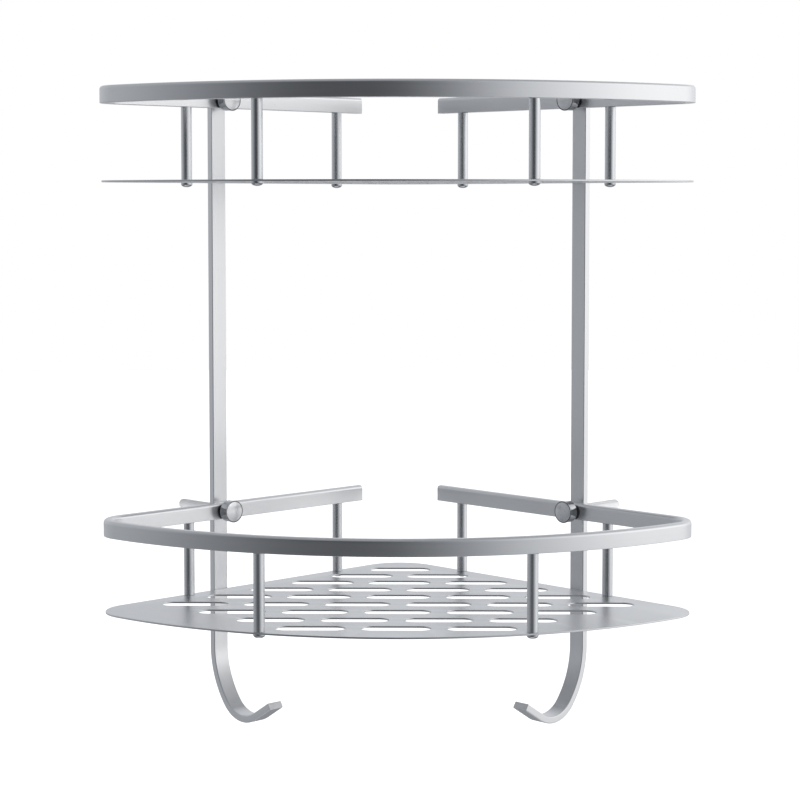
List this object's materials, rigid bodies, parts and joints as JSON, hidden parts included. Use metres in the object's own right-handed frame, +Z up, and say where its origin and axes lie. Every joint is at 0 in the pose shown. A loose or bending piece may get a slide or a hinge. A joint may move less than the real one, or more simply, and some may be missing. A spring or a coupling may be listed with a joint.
{
  "type": "shower caddy",
  "caption": "Corner shower caddy with slotted trays under bent guard rails, held by flat uprights that end in hooks, with screw-on caps over the wall screws.",
  "frame": {"origin": "on the corner line where the two walls meet, level with the lowest point of the hooks", "axes": "+Z up, -Y out of the corner towards the user, +X to the user's right; each wall leaves the origin at 45 degrees to -Y"},
  "size_m": [0.3204, 0.2315, 0.3601],
  "materials": {
    "anodised_aluminium": "satin anodised",
    "tray_aluminium": "fine satin anodised sheet",
    "post_aluminium": "satin turned",
    "polished_metal": "polished rim, satin face",
    "dark_base": "dark, in shadow behind the cap",
    "plug_plastic": "matt moulded",
    "screw_steel": "plain"
  },
  "bodies": {
    "rack": {"left_upright": "anodised_aluminium", "right_upright": "anodised_aluminium", "lower_rail": "anodised_aluminium", "lower_tray": "tray_aluminium", "lower_back_post_left": "post_aluminium", "lower_side_post_left": "post_aluminium", "lower_front_post_left": "post_aluminium", "lower_back_post_right": "post_aluminium", "lower_side_post_right": "post_aluminium", "lower_front_post_right": "post_aluminium", "lower_tray_screws": "polished_metal", "lower_left_cap_base": "dark_base", "lower_right_cap_base": "dark_base", "upper_rail": "anodised_aluminium", "upper_tray": "tray_aluminium", "upper_back_post_left": "post_aluminium", "upper_side_post_left": "post_aluminium", "upper_front_post_left": "post_aluminium", "upper_back_post_right": "post_aluminium", "upper_side_post_right": "post_aluminium", "upper_front_post_right": "post_aluminium", "upper_tray_screws": "polished_metal", "upper_left_cap_base": "dark_base", "upper_right_cap_base": "dark_base", "wall_plugs": "plug_plastic", "wall_screws": "screw_steel"},
    "lower_left_cap_cover": {"lower_left_cap": "polished_metal"},
    "lower_right_cap_cover": {"lower_right_cap": "polished_metal"},
    "upper_left_cap_cover": {"upper_left_cap": "polished_metal"},
    "upper_right_cap_cover": {"upper_right_cap": "polished_metal"}
  },
  "joints": [
    {"name": "lower_left_cap_unscrew", "type": "slide", "parent": "rack", "child": "lower_left_cap_cover", "axis": [0.7071, -0.7071, 0], "range_m": [0, 0.008]},
    {"name": "lower_right_cap_unscrew", "type": "slide", "parent": "rack", "child": "lower_right_cap_cover", "axis": [-0.7071, -0.7071, 0], "range_m": [0, 0.008]},
    {"name": "upper_left_cap_unscrew", "type": "slide", "parent": "rack", "child": "upper_left_cap_cover", "axis": [0.7071, -0.7071, 0], "range_m": [0, 0.008]},
    {"name": "upper_right_cap_unscrew", "type": "slide", "parent": "rack", "child": "upper_right_cap_cover", "axis": [-0.7071, -0.7071, 0], "range_m": [0, 0.008]}
  ]
}
